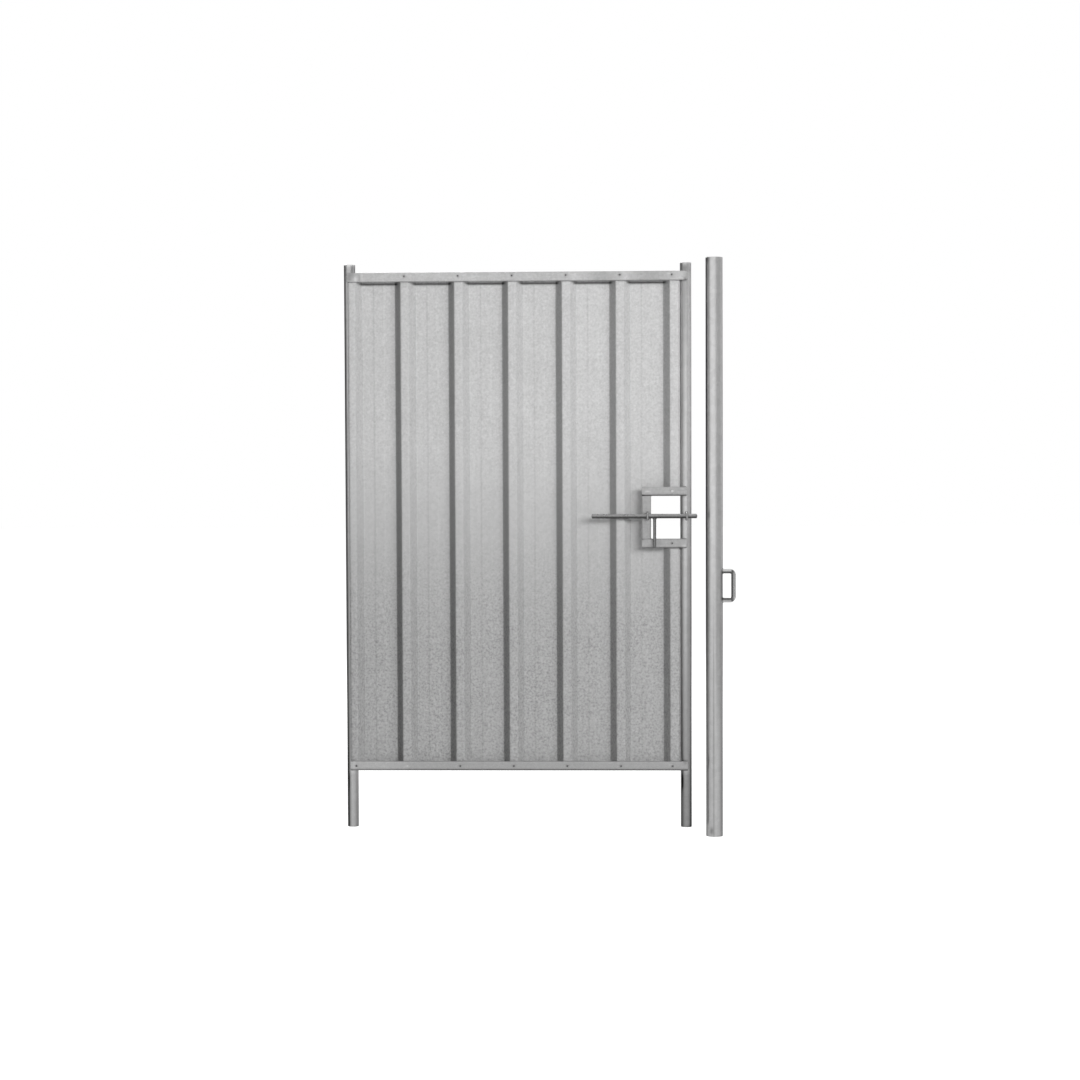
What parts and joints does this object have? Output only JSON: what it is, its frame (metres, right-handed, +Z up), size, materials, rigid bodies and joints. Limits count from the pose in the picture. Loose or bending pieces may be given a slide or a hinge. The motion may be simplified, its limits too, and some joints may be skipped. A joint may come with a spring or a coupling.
{
  "type": "pedestrian gate",
  "caption": "Hoarding gate leaf of profiled galvanised sheet between round tube stiles, with a hatch and a sliding bolt, beside a loose tube post with a keeper loop.",
  "frame": {"origin": "centre of the latch post's foot, on its lower end face", "axes": "+Z up; +X from the leaf to the latch post, so the leaf lies on the -X side; -Y is the face with the rails, the hatch bars and the bolt"},
  "size_m": [1.3864, 0.0931, 2.051],
  "materials": {
    "post_tube": "galvanised steel tube, satin",
    "stile_tube": "galvanised steel tube, satin",
    "rail_section": "galvanised box section, dull",
    "profiled_sheet": "hot-dip galvanised sheet with fine spangle",
    "bent_rod": "bent galvanised rod",
    "bolt_bar": "round bar, worn zinc",
    "rivet": "dull rivet heads",
    "weld_metal": "weld bead under zinc"
  },
  "bodies": {
    "post": {"latch_post": "post_tube", "keeper_loop": "bent_rod"},
    "leaf": {"hinge_stile": "stile_tube", "latch_stile": "stile_tube", "top_rail": "rail_section", "bottom_rail": "rail_section", "profiled_sheet": "profiled_sheet", "hatch_top_bar": "rail_section", "hatch_bottom_bar": "rail_section", "hatch_jamb": "rail_section", "bolt_guide_jamb": "bent_rod", "bolt_guide_stile": "bent_rod", "top_rail_rivets": "rivet", "bottom_rail_rivets": "rivet", "hatch_rivets": "rivet", "top_hinge_weld": "weld_metal", "top_latch_weld": "weld_metal", "bottom_hinge_weld": "weld_metal", "bottom_latch_weld": "weld_metal", "hatch_top_weld": "weld_metal", "hatch_bottom_weld": "weld_metal", "jamb_welds": "weld_metal"},
    "bolt": {"bolt_rod": "bolt_bar"},
    "handle": {"bolt_handle": "bolt_bar"}
  },
  "joints": [
    {"name": "gate_swing", "type": "hinge", "parent": "post", "child": "leaf", "pos_m": [-1.29015, 0, 0.033], "axis": [0, 0, -1], "range_deg": [0, 110]},
    {"name": "bolt_slide", "type": "slide", "parent": "leaf", "child": "bolt", "axis": [1, 0, 0], "range_m": [-0.008, 0.096]},
    {"name": "handle_turn", "type": "hinge", "parent": "bolt", "child": "handle", "pos_m": [-0.2156, -0.0477, 1.14], "axis": [-1, 0, 0], "range_deg": [0, 180]}
  ]
}
